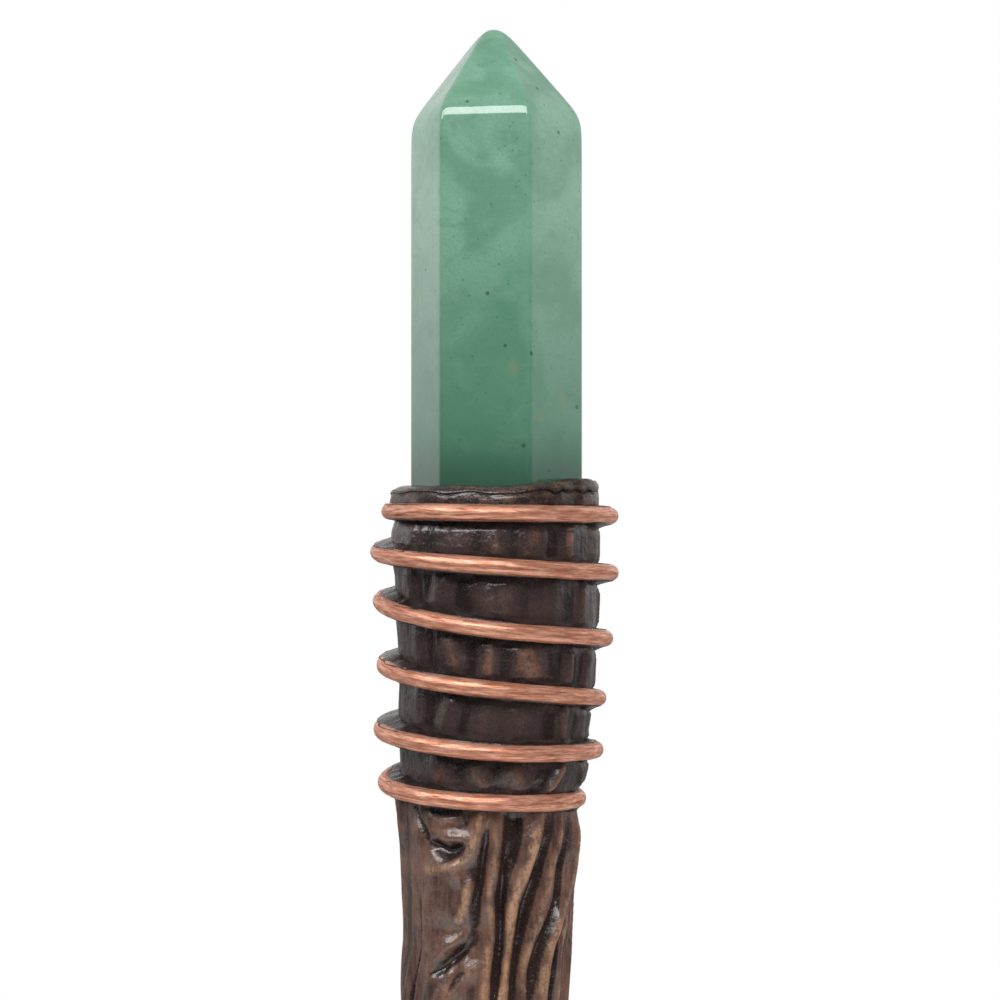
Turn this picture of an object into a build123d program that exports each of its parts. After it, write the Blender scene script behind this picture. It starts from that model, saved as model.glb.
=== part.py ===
from build123d import *
import os
from math import cos, pi, radians, sin

import numpy as np

# Crystal-tipped magic wand, modelled upright: the flat butt stands on z = 0 and the stone points up.
# -Y is the front and -X the left. All sizes are in millimetres and all angles in degrees.

# ---- driving dimensions ----------------------------------------------------------------------
WAND_LENGTH = 250.0

# Six-sided stone, sawn flat at its root and polished to a blunt point.
STONE_ACROSS_FLATS = 15.1
STONE_TURN = -8.1  # how far the stone is turned about its own axis
STONE_ROOT_Z = 192.0
STONE_SHOULDER_Z = 240.8  # where the six sides meet the six faces of the point
STONE_APEX_Z = 251.0  # where those faces would meet if the tip were sharp
STONE_TIP_RADIUS = 2.4
STONE_TIP_SHARE = 0.4  # the round tip takes over this share of its radius above its centre
STONE_EDGE_FILLET = 0.4
STONE_ROOT_CHAMFER = 0.8
POLISHED_ABOVE_ROOT = 2.0  # edges higher than this over the root are rounded

GLUE_GAP = 0.3  # epoxy between the stone and its socket
SLIP_GAP = 0.02  # keeps solids that touch from sharing volume
WIRE_GAP = 0.06  # the same, between the wire and its bead
HOLE_GAP = 0.15  # and between the wire's end and its hole

# Pressed putty ring that hides the glue line.
BODY_TOP_Z = 202.9
RING_HEIGHT = 1.9
RING_REACH = 10.5
RING_ROUNDING = 0.8
RING_TILT = 1.7  # higher on the +X side

ROD_RADIUS = 1.5
ROD_BOTTOM_Z = 30.0

# Shaft stations: height, centre x, centre y, mean radius.
SHAFT = [
    (0.0, 0.0, 0.0, 6.6),
    (1.2, 0.0, 0.0, 7.5),
    (6.0, 0.1, 0.0, 8.2),
    (13.0, 0.3, -0.1, 8.1),
    (24.0, 0.6, -0.3, 7.1),
    (40.0, 0.9, -0.6, 6.6),
    (60.0, 0.5, -0.8, 6.8),
    (80.0, -0.5, -0.5, 7.1),
    (100.0, -1.6, 0.1, 7.5),
    (120.0, -2.3, 0.6, 7.9),
    (138.0, -2.0, 0.6, 8.3),
    (153.0, -1.2, 0.3, 8.45),
    (163.0, -0.8, 0.1, 8.6),
    (170.0, -0.8, 0.0, 8.7),
    (BODY_TOP_Z, 0.0, 0.0, 10.0),
]

# Bark flutes: how many round the shaft, depth, twist per millimetre of height, phase.
FLUTES = [(3, 0.22, 0.4, 20.0), (5, 0.26, 0.7, 75.0), (8, 0.24, 1.0, 200.0)]
FLUTES_BELOW_Z = 164.0  # full depth below here
FLUTES_END_Z = 170.0  # gone from here up, below the wire
FLUTES_ABOVE_Z = 8.0  # full depth above here, fading out at the flat butt

# Knots: height, direction from +X, how far it stands out, its spread along the shaft and round it.
KNOTS = [
    (156.0, 225.0, 0.5, 4.0, 3.0),
    (118.0, 300.0, 1.0, 6.0, 4.0),
    (74.0, 80.0, 1.1, 6.0, 4.0),
    (38.0, 240.0, 0.9, 5.0, 3.5),
]

# The bark runs free below the first of these heights and follows the wire above the second.
FREE_BELOW_Z = 168.0
WRAPPED_ABOVE_Z = 172.0

# Turns of the wire, top first: its height at the left, front and right, then its reach to left and right.
TURNS = [
    (201.9, 201.8, 201.5, 11.8, 12.2),
    (197.9, 196.7, 195.7, 12.6, 12.2),
    (193.0, 190.7, 189.2, 12.3, 11.7),
    (186.7, 185.0, 183.2, 12.0, 11.0),
    (180.3, 179.1, 178.2, 12.3, 10.7),
    (174.8, 174.2, 173.3, 11.9, 9.4),
]
TABLE_START = -180.0  # the wire is laid out from half a turn before the first turn
RISE_BEFORE_FIRST = 0.4  # and climbs this far in that half turn
DROP_AFTER_LAST = 1.0  # and drops this far in the half turn behind the last
WIRE_RADIUS = 0.815  # 14 gauge
WIRE_START = -70.0  # travel round the shaft, counted from the left of the first turn
WIRE_END = 2015.0
WIRE_STEP = 30.0  # travel between the points that shape the wire
WIRE_LIFT = 0.45  # height of the wire over the bark
TUCK_BEND = 2.2  # the lower end bends inward on this radius
TUCK_STEPS = (30.0, 60.0, 90.0)  # through these angles
TUCK_DEPTH = 2.5  # and then runs this far straight in
HOLE_TRAVEL = 60.0  # the hole for it starts this far before the end

BED_FOOT = 0.95  # half height of the bead where it meets the bark
BED_LIP = 0.93  # half height of the bead where it meets the wire
BED_GAP = 0.3  # room for the bark's unevenness under the bead
BED_STOPS_SHORT = 15.0  # travel left bare before the wire's lower end

SECTION_POINTS = 32
SECTION_SPACING = 10.0
COIL_SPACING = 3.0
WIRE_PIECES = 14


# ---- stone and its setting -------------------------------------------------------------------
def hexagon(across_flats):
    """Outline of the stone, or of what fits round it."""
    return RegularPolygon(across_flats / 2, 6, major_radius=False, rotation=STONE_TURN)


def hexagon_prism(across_flats, bottom, top):
    return Pos(0, 0, bottom) * extrude(hexagon(across_flats), top - bottom)


def crystal_point():
    shoulder = Pos(0, 0, STONE_SHOULDER_Z) * hexagon(STONE_ACROSS_FLATS).face()
    point = loft([shoulder, Vertex(0, 0, STONE_APEX_Z)])
    column = hexagon_prism(STONE_ACROSS_FLATS, STONE_ROOT_Z, STONE_SHOULDER_Z)
    column = chamfer(column.faces().sort_by(Axis.Z)[0].edges(), STONE_ROOT_CHAMFER)
    stone = column + point
    polished = stone.edges().filter_by(lambda edge: edge.center().Z > STONE_ROOT_Z + POLISHED_ABOVE_ROOT)
    stone = fillet(polished, STONE_EDGE_FILLET)
    tip_centre = WAND_LENGTH - STONE_TIP_RADIUS
    rounding = Pos(0, 0, tip_centre) * Sphere(STONE_TIP_RADIUS)
    below_tip = tip_centre + STONE_TIP_SHARE * STONE_TIP_RADIUS
    rounding += Cylinder(STONE_ACROSS_FLATS, below_tip, align=(Align.CENTER, Align.CENTER, Align.MIN))
    return stone & rounding


def socket():
    """The hollow in the shaft for the stone's root and its glue."""
    return hexagon_prism(STONE_ACROSS_FLATS + 2 * GLUE_GAP, STONE_ROOT_Z - GLUE_GAP, WAND_LENGTH)


def crystal_adhesive():
    """Epoxy cup that fills the socket round the stone's root."""
    across_flats = STONE_ACROSS_FLATS + 2 * (GLUE_GAP - SLIP_GAP)
    floor = STONE_ROOT_Z - GLUE_GAP + SLIP_GAP
    pocket = hexagon_prism(STONE_ACROSS_FLATS + 2 * SLIP_GAP, STONE_ROOT_Z - SLIP_GAP, WAND_LENGTH)
    return hexagon_prism(across_flats, floor, BODY_TOP_Z - SLIP_GAP) - pocket


def setting_ring():
    """Lip of putty pressed round the foot of the stone, a little higher on the right."""
    ring = Pos(0, 0, RING_HEIGHT / 2) * Cylinder(RING_REACH, RING_HEIGHT)
    ring = fillet(ring.edges().group_by(Axis.Z)[-1], RING_ROUNDING)
    lift = RING_REACH * sin(radians(RING_TILT)) + SLIP_GAP
    ring = Pos(0, 0, BODY_TOP_Z + lift) * Rot(0, -RING_TILT, 0) * ring
    seat = Pos(0, 0, BODY_TOP_Z + SLIP_GAP) * Cylinder(
        RING_REACH, RING_HEIGHT, align=(Align.CENTER, Align.CENTER, Align.MIN)
    )
    opening = hexagon_prism(STONE_ACROSS_FLATS + 2 * SLIP_GAP, STONE_ROOT_Z, WAND_LENGTH)
    return ring + seat - opening


# ---- wire ------------------------------------------------------------------------------------
def wire_table():
    """Travel, height and reach at the left, front and right of each turn, carried on past both ends."""
    rows = [(TABLE_START, TURNS[0][2] + RISE_BEFORE_FIRST, TURNS[0][4])]
    for n, (left_z, front_z, right_z, left_reach, right_reach) in enumerate(TURNS):
        rows.append((360.0 * n, left_z, left_reach))
        rows.append((360.0 * n + 90.0, front_z, (left_reach + right_reach) / 2))
        rows.append((360.0 * n + 180.0, right_z, right_reach))
    rows.append((360.0 * len(TURNS), TURNS[-1][2] - DROP_AFTER_LAST, TURNS[-1][3]))
    return [list(column) for column in zip(*rows)]


def wire_at(travel):
    """Height of the wire's centre, and its distance from the wand's axis, after travel degrees."""
    travels, heights, reaches = wire_table()
    return np.interp(travel, travels, heights), np.interp(travel, travels, reaches) - WIRE_RADIUS


def wire_points(start, end):
    count = round((end - start) / WIRE_STEP)
    points = []
    for travel in np.linspace(start, end, count + 1):
        z, r = wire_at(travel)
        angle = pi + radians(travel)
        points.append(Vector(r * cos(angle), r * sin(angle), z))
    return points


def tucked_end(point, angle, depth):
    """Points that bend the wire inward and run it straight into the shaft."""
    along = Vector(-sin(angle), cos(angle), 0)
    inward = Vector(-cos(angle), -sin(angle), 0)
    points = []
    for turned in TUCK_STEPS:
        forward, aside = sin(radians(turned)), 1 - cos(radians(turned))
        points.append(point + TUCK_BEND * (along * forward + inward * aside))
    points.append(points[-1] + inward * depth / 2)
    points.append(points[-1] + inward * depth / 2)
    return points


def smooth_path(points, pieces=1):
    """A smooth curve through the points, in a chain of pieces so that a sweep along it has short faces."""
    curve = Edge.make_spline(points)
    return Wire([curve.trim(k / pieces, (k + 1) / pieces) for k in range(pieces)])


def tube(points, radius, pieces=1):
    path = smooth_path(points, pieces)
    return sweep(Plane(path @ 0, z_dir=path % 0) * Circle(radius), path=path)


def copper_wire():
    points = wire_points(WIRE_START, WIRE_END)
    points += tucked_end(points[-1], pi + radians(WIRE_END), TUCK_DEPTH)
    return tube(points, WIRE_RADIUS, WIRE_PIECES)


def tuck_hole():
    """The drilled hole in the shaft that takes the wire's lower end."""
    before = wire_points(WIRE_END - HOLE_TRAVEL, WIRE_END)
    inside = tucked_end(before[-1], pi + radians(WIRE_END), TUCK_DEPTH + HOLE_GAP)
    return tube(before + inside, WIRE_RADIUS + HOLE_GAP)


def wire_bedding():
    """Bead of dark filler between the bark and the wire, hollowed to the wire's inner half."""
    path = smooth_path(wire_points(WIRE_START, WIRE_END - BED_STOPS_SHORT), WIRE_PIECES)
    angle = pi + radians(WIRE_START)
    outward = Vector(cos(angle), sin(angle), 0)
    plane = Plane(path @ 0, x_dir=outward, z_dir=path % 0)
    foot = -WIRE_RADIUS - WIRE_LIFT + BED_GAP
    hollow = WIRE_RADIUS + WIRE_GAP
    outline = [
        Line((0, hollow), (0, BED_LIP)),
        Line((0, BED_LIP), (foot, BED_FOOT)),
        Line((foot, BED_FOOT), (foot, -BED_FOOT)),
        Line((foot, -BED_FOOT), (0, -BED_LIP)),
        Line((0, -BED_LIP), (0, -hollow)),
        ThreePointArc((0, -hollow), (-hollow, 0), (0, hollow)),
    ]
    return sweep(plane * make_face(outline), path=path, is_frenet=True)


# ---- shaft -----------------------------------------------------------------------------------
def shaft_at(z):
    """Centre and mean radius of the shaft at a height."""
    heights, *columns = zip(*SHAFT)
    return [float(np.interp(z, heights, column)) for column in columns]


def under_wire(z, angle):
    """Distance from the wand's axis to the bark, so that the wire rides WIRE_LIFT over it."""
    travel = (np.degrees(angle) - 180.0) % 360.0
    travels = [travel + 360.0 * n for n in range(-1, len(TURNS))]
    passes = [wire_at(travel) for travel in travels if travel >= TABLE_START]
    passes = sorted(pair for pair in passes if pair[0] < BODY_TOP_Z)
    heights, radii = zip(*passes)
    return np.interp(z, heights, radii) - WIRE_RADIUS - WIRE_LIFT


def free_bark(z, angle):
    """Distance from the shaft's centre line to the bark where no wire covers it."""
    radius = shaft_at(z)[2]
    fade = np.interp(z, (FLUTES_BELOW_Z, FLUTES_END_Z), (1, 0))
    fade *= np.interp(z, (0, FLUTES_ABOVE_Z), (0, 1))
    for count, depth, twist, phase in FLUTES:
        radius += fade * depth * cos(count * angle + radians(twist * z + phase))
    for height, direction, rise, along, around in KNOTS:
        turn = (angle - radians(direction) + pi) % (2 * pi) - pi
        radius += rise * np.exp(-(((z - height) / along) ** 2) - (turn * radius / around) ** 2)
    return radius


def bark_point(z, angle):
    """Point on the bark: free below the wire, and following it where it is wrapped."""
    x, y, _ = shaft_at(z)
    free = free_bark(z, angle)
    wrapped = under_wire(z, angle)
    share = np.interp(z, (FREE_BELOW_Z, WRAPPED_ABOVE_Z), (0, 1))
    return Vector(
        (1 - share) * (x + free * cos(angle)) + share * wrapped * cos(angle),
        (1 - share) * (y + free * sin(angle)) + share * wrapped * sin(angle),
        z,
    )


def section(z):
    """One closed outline of the bark."""
    angles = [2 * pi * k / SECTION_POINTS for k in range(SECTION_POINTS)]
    return Face(Wire(Edge.make_spline([bark_point(z, angle) for angle in angles], periodic=True)))


def section_heights():
    """The shaft's stations, with more between them where they are far apart."""
    stations = [row[0] for row in SHAFT]
    heights = [stations[0]]
    for low, high in zip(stations, stations[1:]):
        spacing = COIL_SPACING if high == BODY_TOP_Z else SECTION_SPACING
        parts = max(1, round((high - low) / spacing))
        heights += [low + (high - low) * (k + 1) / parts for k in range(parts)]
    return heights


def rod(radius, bottom, top):
    return Pos(0, 0, bottom) * Cylinder(radius, top - bottom, align=(Align.CENTER, Align.CENTER, Align.MIN))


def wand_body():
    body = loft([section(z) for z in section_heights()])
    body -= socket()
    body -= rod(ROD_RADIUS + SLIP_GAP, ROD_BOTTOM_Z - SLIP_GAP, STONE_ROOT_Z)
    return body - tuck_hole()


def reinforcing_rod():
    return rod(ROD_RADIUS, ROD_BOTTOM_Z, STONE_ROOT_Z - GLUE_GAP)


# ---- build -----------------------------------------------------------------------------------
PARTS = {
    "crystal_point": crystal_point(),
    "crystal_adhesive": crystal_adhesive(),
    "setting_ring": setting_ring(),
    "wand_body": wand_body(),
    "reinforcing_rod": reinforcing_rod(),
    "copper_wire": copper_wire(),
    "wire_bedding": wire_bedding(),
}

os.makedirs("parts", exist_ok=True)
for name, shape in PARTS.items():
    export_step(shape, f"parts/{name}.step")
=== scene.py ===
import math

import bpy
import numpy as np
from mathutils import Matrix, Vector
from mathutils.bvhtree import BVHTree


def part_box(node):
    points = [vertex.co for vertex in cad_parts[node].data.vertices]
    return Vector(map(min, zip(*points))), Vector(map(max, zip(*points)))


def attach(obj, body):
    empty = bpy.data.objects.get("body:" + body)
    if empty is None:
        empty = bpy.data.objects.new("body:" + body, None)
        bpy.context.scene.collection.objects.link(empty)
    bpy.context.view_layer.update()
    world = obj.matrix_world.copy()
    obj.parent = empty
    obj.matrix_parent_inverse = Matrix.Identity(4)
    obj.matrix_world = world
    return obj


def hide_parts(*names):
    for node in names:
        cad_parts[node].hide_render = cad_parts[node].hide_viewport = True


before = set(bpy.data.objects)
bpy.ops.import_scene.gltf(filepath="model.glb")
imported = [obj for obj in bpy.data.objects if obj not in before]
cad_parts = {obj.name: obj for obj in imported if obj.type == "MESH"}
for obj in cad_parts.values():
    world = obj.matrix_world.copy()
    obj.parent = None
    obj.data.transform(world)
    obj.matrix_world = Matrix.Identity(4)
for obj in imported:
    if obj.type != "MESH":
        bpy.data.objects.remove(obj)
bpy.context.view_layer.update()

# Crystal-tipped magic wand. Shapes are worked out in millimetres and handed to Blender in metres.
# Angles are degrees round the wand: 0 is the right (+X), -90 the front (-Y), 180 the left (-X).
MM = 0.001
FULL_TURN = 2 * math.pi

# ---- sizes and places --------------------------------------------------------------------------
STONE_LOW, STONE_HIGH = [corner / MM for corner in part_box("crystal_point")]
BODY_LOW, BODY_HIGH = [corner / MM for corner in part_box("wand_body")]
ROD_LOW, ROD_HIGH = [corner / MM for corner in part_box("reinforcing_rod")]

STONE_TURN = -8.1  # the corner of the stone nearest +X
STONE_FLAT = 7.55  # from the axis to a side face
STONE_SHOULDER = STONE_HIGH.z - 9.0
STONE_APEX = STONE_HIGH.z + 1.35
APEX_ASIDE = -0.25  # how far the point leans to the left
TIP_ROUNDING = 1.6
# Roundness of the polished edges: larger numbers are sharper.
SIDE_EDGE = 9.0
POINT_EDGE = 8.0
SHOULDER_EDGE = 2.6
TIP_EDGE = 8.0

STONE_COLUMNS = 360
HALVINGS = 40  # steps that close in on the stone's surface

GLUE_WALL = 0.3  # epoxy between the stone and its socket
WIRE_RADIUS = 0.815
TRACE_STEP = 5.0  # degrees between the cuts that find the CAD wire
TUCKED_UNDER = 4.0  # nearer the axis than this it is only the tucked end
TURNS_APART = 0.6  # a bigger jump in height than this leads to the next turn
COIL_STEP = 2.0  # degrees between the rings of the wire
BEAD_STEP = 1.5  # and of its bead
ROD_BORE = 1.52

SHAFT_COLUMNS = 300
SHAFT_STEP_LOW = 0.5
SHAFT_STEP_HIGH = 0.2
DETAIL_FROM = 146.0  # finer rows above this height
COIL_FROM = 173.0
BARK_SINK = 0.35  # plain bark lies this far under the shaft's radius, and the ridges rise out of it
WIRE_SINK = 0.45  # the bark under a turn reaches this close to the wire's centre line
SEAT_REACH = 1.6  # half height of the strip that a turn presses in
SHADE_STRIP_REACH = 1.55  # half height of the strip of painted shade under it

# Added to the CAD shaft's radius under the bark: height, at the left, at the right.
SWELL = [
    (0.0, -0.2, -0.2),
    (140.0, -0.3, -0.3),
    (153.0, -0.55, -0.5),
    (159.0, -0.75, -0.45),
    (164.0, -0.35, -0.2),
    (168.0, -0.05, 0.4),
    (170.5, 0.05, 0.95),
    (172.5, 0.1, 1.1),
    (176.3, 0.1, 1.0),
    (180.0, 0.1, 0.3),
    (184.5, 0.1, 0.85),
    (187.0, 0.15, 0.8),
    (191.0, 0.2, 0.6),
    (195.5, 0.1, 0.3),
    (199.9, 0.7, 0.4),
    (202.9, 0.6, 0.3),
]

# Bark ridges of the front: width, height, how much light paint their crest took, and where they run.
FRONT_RIDGES = [
    (0.75, 0.55, 0.80, [(-93, 175), (-96, 172.5), (-99, 171), (-104, 169), (-112, 168), (-120, 167.6)]),
    (0.75, 0.22, 0.85, [(-108, 168.2), (-116, 167.8), (-126, 167.4), (-140, 167)]),
    (0.45, 0.30, 0.10, [(-133, 158.2), (-123, 159.2), (-113, 160.4), (-105, 161.6)]),
    (0.75, 0.60, 0.70, [(-84, 174), (-87, 171.5), (-86, 169.5), (-88, 167),
                        (-90, 164.5), (-87, 162), (-90, 158.5), (-91, 150)]),
    (1.00, 0.80, 1.00, [(-54, 175), (-57, 172.5), (-62, 170.5), (-67, 167),
                        (-72, 164), (-74, 159.5), (-77, 155), (-80, 150)]),
    (0.70, 0.55, 0.60, [(-38, 175), (-42, 170), (-47, 167.5), (-54, 162.5),
                        (-59, 160), (-62, 157.5), (-60, 155), (-66, 150)]),
    (0.85, 0.70, 0.70, [(-16, 174), (-20, 171), (-17, 167), (-23, 164.5),
                        (-37, 162), (-46, 159), (-50, 154.5), (-54, 150)]),
    (0.80, 0.50, 0.60, [(-10, 163.5), (-23, 160), (-25, 158), (-22, 154), (-28, 150)]),
    (0.75, 0.50, 0.85, [(-103, 167), (-104, 165.5), (-107, 163.5), (-112, 162)]),
    (1.00, 0.50, 0.55, [(-91, 159), (-99, 158), (-108, 157), (-114, 156), (-119, 155), (-127, 150)]),
    (0.45, 0.30, 0.40, [(-157, 169), (-156, 164.5), (-160, 161.5), (-162, 158.5), (-168, 155), (-172, 150)]),
    (0.50, 0.35, 0.40, [(-137, 166), (-138, 162), (-140, 160), (-146, 157), (-149, 154.5), (-155, 150)]),
    (0.60, 0.22, 0.45, [(-131, 171.8), (-118, 172), (-106, 172.5)]),
    (0.60, 0.35, 0.30, [(18, 172), (12, 167), (8, 162), (-2, 156), (-8, 150)]),
]
# Creases of the front, darkened with painted shade: width, depth, and where they run.
FRONT_CREASES = [
    (1.30, 0.80, [(-73, 174.5), (-76, 171.5), (-79, 169), (-82, 167)]),
    (0.75, 0.80, [(-78, 171), (-81, 168.5), (-82, 164), (-82, 159), (-85, 151)]),
    (0.80, 0.70, [(-50, 174), (-54, 169.5), (-59, 166.5), (-63, 164), (-67, 160), (-72, 152)]),
    (0.75, 0.70, [(-29, 173), (-37, 167.5), (-39, 164), (-49, 160.5), (-55, 157), (-58, 151)]),
    (0.70, 0.65, [(-8, 164), (-29, 161), (-37, 158.5), (-41, 152)]),
    (0.95, 0.90, [(-139, 169.8), (-127, 169.4), (-117, 169.1), (-105, 169.9)]),
    (0.60, 0.45, [(-90, 173.5), (-94, 169.5), (-96, 166.5), (-99, 164), (-101, 161)]),
    (0.80, 0.65, [(-136, 156.5), (-124, 157.7), (-113, 159), (-102, 160.5)]),
    (0.70, 0.45, [(-147, 165), (-145, 161), (-148, 159), (-157, 155), (-163, 151)]),
    (0.50, 0.35, [(-154, 174), (-141, 171.5), (-132, 169.5)]),
    (0.80, 0.40, [(-142, 173), (-123, 173.2), (-104, 173.6)]),
    (0.60, 0.40, [(-117, 155), (-110, 157), (-104, 157.6)]),
]
# Swellings: angle, height, rise, spread round the shaft and along it.
FRONT_SWELLS = [
    (-122, 163.6, 0.50, 2.2, 2.2),
    (-114, 170.6, 0.65, 1.8, 0.7),
    (-111, 166.8, 0.55, 1.2, 0.9),
    (-118, 160.2, 0.50, 1.6, 0.8),
    (-107, 155.3, 0.35, 1.2, 1.4),
    (-146, 170.4, 0.30, 1.3, 1.8),
]
# Angles at which the other ridges pass the lower edge of that front patch.
LOWER_RIDGES = [-91, -80, -66, -54, -41, -28, -8, -108, -127, -140, -155, -172]
BACK_RIDGES = [-5, 12, 30, 46, 63, 80, 98, 115, 131, 149, 166]
FRONT_PATCH_LOW = 150.0
BARK_TWIST = 1.1  # degrees per millimetre of height

# Folds between the turns of wire: the gap counted from the top, angle, width, height, paint, lean in degrees.
GAP_FOLDS = [
    (0, -48, 0.9, 0.45, 0.9, 0), (0, -70, 1.3, 0.25, 0.5, 3), (0, -90, 1.1, 0.25, 0.5, 0),
    (0, -112, 1.6, 0.3, 0.3, 0), (0, -140, 1.2, 0.3, 0.1, 0), (0, -22, 1.4, 0.35, 0.1, 0),
    (1, -96, 1.2, 0.30, 0.5, -4), (1, -85, 1.5, 0.30, 0.4, 0), (1, -35, 1.0, 0.40, 0.5, 2),
    (1, -120, 1.1, 0.35, 0.1, 4), (1, -62, 2.0, 0.25, 0.1, 0), (1, -145, 1.1, 0.3, 0.1, 0),
    (2, -115, 1.4, 0.30, 0.7, -3), (2, -94, 1.0, 0.40, 0.8, 2), (2, -72, 2.2, 0.45, 0.8, 0),
    (2, -45, 0.7, 0.50, 0.5, 0), (2, -28, 0.8, 0.40, 0.2, 3), (2, -140, 1.2, 0.3, 0.1, 0),
    (3, -47, 0.6, 0.60, 1.0, 0), (3, -75, 1.8, 0.25, 0.3, 0), (3, -97, 1.4, 0.25, 0.3, 3),
    (3, -118, 1.1, 0.35, 0.2, 5), (3, -143, 1.2, 0.3, 0.1, 0), (3, -25, 1.2, 0.45, 0.1, 0),
    (4, -51, 0.6, 0.60, 1.0, 8), (4, -78, 1.5, 0.30, 0.6, -6), (4, -100, 1.2, 0.30, 0.6, -4),
    (4, -125, 1.6, 0.3, 0.5, 0), (4, -20, 1.0, 0.40, 0.1, 5),
]

FOLD_RISE = 1.3  # all the planned folds are raised by this factor
WRINKLES = 30  # small unplanned folds, spread over the back and sides

# Where the wire was pulled tighter than its neighbours: angle, height, how far.
TIGHT_SPOTS = [(180, 201.9, 0.35), (0, 173.3, 0.5)]

COLLAR_REACH = 10.55
COLLAR_LIFT = 1.5  # height of its lip over the shaft's top
COLLAR_RISE = 0.6  # extra height at the right

# Camera, level with the middle of what a close-up of the top shows.
CAMERA_DISTANCE = 200.0
CAMERA_HEIGHT = STONE_HIGH.z - 47.0
CAMERA_RIGHT = 0.4
CAMERA_LENS = 72.0
LIGHT_DISTANCE = 900.0
FLOOR_RADIUS = 450.0


# ---- small tools -------------------------------------------------------------------------------
def smooth_noise(u, v, cells, seed):
    """Smooth random values in -1..1. They repeat after `cells` steps of u, and v is never negative."""
    lattice = np.random.RandomState(seed).uniform(-1, 1, (int(np.max(v)) + 3, cells))
    row, column = np.floor(v).astype(int), np.floor(u).astype(int)
    dv, du = v - row, u - column
    dv, du = dv * dv * (3 - 2 * dv), du * du * (3 - 2 * du)
    left, right = column % cells, (column + 1) % cells
    low = lattice[row, left] * (1 - du) + lattice[row, right] * du
    high = lattice[row + 1, left] * (1 - du) + lattice[row + 1, right] * du
    return low * (1 - dv) + high * dv


def wander(x, spacing, seed):
    """Smooth random values in -1..1 along one length."""
    return smooth_noise(np.zeros_like(x), np.asarray(x) / spacing, 1, seed)


def smoothstep(x, low, high):
    t = np.clip((x - low) / (high - low), 0, 1)
    return t * t * (3 - 2 * t)


def turned(degrees):
    """The same angle between -180 and 180."""
    return (np.asarray(degrees) + 180.0) % 360.0 - 180.0


def column(table, index):
    return [row[index] for row in table]


def polar(radius, degrees, z):
    angle = np.radians(degrees)
    return np.stack(np.broadcast_arrays(radius * np.cos(angle), radius * np.sin(angle), z), axis=-1)


def closed_mesh(name, rings, ends="fan"):
    """A closed surface through rings of points. Its ends are fans, or the last ring joins the first."""
    count, around = rings.shape[:2]
    points = rings.reshape(-1, 3)
    index = np.arange(count * around).reshape(count, around)
    lower = index if ends == "join" else index[:-1]
    upper = np.roll(index, -1, axis=0) if ends == "join" else index[1:]
    quads = np.stack([lower, np.roll(lower, -1, 1), np.roll(upper, -1, 1), upper], axis=-1).reshape(-1, 4)
    triangles = np.zeros((0, 3), int)
    if ends == "fan":
        points = np.vstack([points, rings[0].mean(0), rings[-1].mean(0)])
        first, last = np.full(around, len(points) - 2), np.full(around, len(points) - 1)
        bottom = np.stack([first, np.roll(index[0], -1), index[0]], axis=-1)
        top = np.stack([last, index[-1], np.roll(index[-1], -1)], axis=-1)
        triangles = np.vstack([bottom, top])
    mesh = bpy.data.meshes.new(name)
    mesh.vertices.add(len(points))
    mesh.vertices.foreach_set("co", (points * MM).astype(np.float32).ravel())
    corners = np.concatenate([quads.ravel(), triangles.ravel()])
    mesh.loops.add(len(corners))
    mesh.loops.foreach_set("vertex_index", corners.astype(np.int32))
    sizes = np.concatenate([np.full(len(quads), 4), np.full(len(triangles), 3)])
    mesh.polygons.add(len(sizes))
    mesh.polygons.foreach_set("loop_start", (np.cumsum(sizes) - sizes).astype(np.int32))
    mesh.update(calc_edges=True)
    mesh.validate()
    mesh.shade_smooth()
    piece = bpy.data.objects.new(name, mesh)
    bpy.context.scene.collection.objects.link(piece)
    return piece


def paint(piece, name, values, padding=0.0):
    """Stores one value for each point of the mesh; its materials read it by name."""
    data = np.full(len(piece.data.vertices), padding, np.float32)
    data[: values.size] = values.ravel()
    piece.data.attributes.new(name, "FLOAT", "POINT").data.foreach_set("value", data)


def place(piece, node, material):
    """Makes a piece stand for a CAD node, in its body and material slot."""
    piece.data.materials.append(material)
    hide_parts(node)
    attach(piece, "root")


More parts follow.
